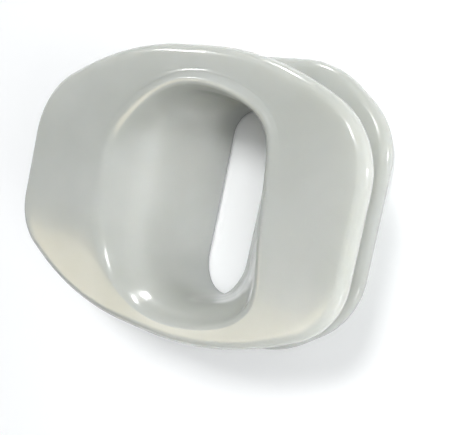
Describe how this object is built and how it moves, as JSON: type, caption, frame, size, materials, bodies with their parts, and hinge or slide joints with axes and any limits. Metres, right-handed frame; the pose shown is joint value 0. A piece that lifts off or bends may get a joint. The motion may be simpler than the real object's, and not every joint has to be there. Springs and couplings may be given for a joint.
{
  "type": "cheek retractor",
  "caption": "Soft translucent cheek retractor: two rounded shields joined by a springy funnel-shaped tunnel that holds the cheek in the groove between them.",
  "frame": {"origin": "middle of the back face of the inner shield, which is the face that the part rests on", "axes": "+Z out of the mouth along the tunnel, +Y along the tall way of the tunnel, +X towards the short wings"},
  "size_m": [0.0668, 0.0468, 0.017],
  "materials": {
    "shield_silicone": "glossy, milky and slightly translucent silicone"
  },
  "bodies": {
    "inner_part": {"inner_shield": "shield_silicone", "tunnel_sleeve": "shield_silicone"},
    "outer_part": {"outer_shield": "shield_silicone", "mouth_funnel": "shield_silicone"}
  },
  "joints": [
    {"name": "groove_stretch", "type": "slide", "parent": "inner_part", "child": "outer_part", "axis": [0, 0, 1], "range_m": [-0.004, 0.003], "stiffness_N_per_m": 1500, "deforming": ["tunnel_sleeve"]}
  ]
}
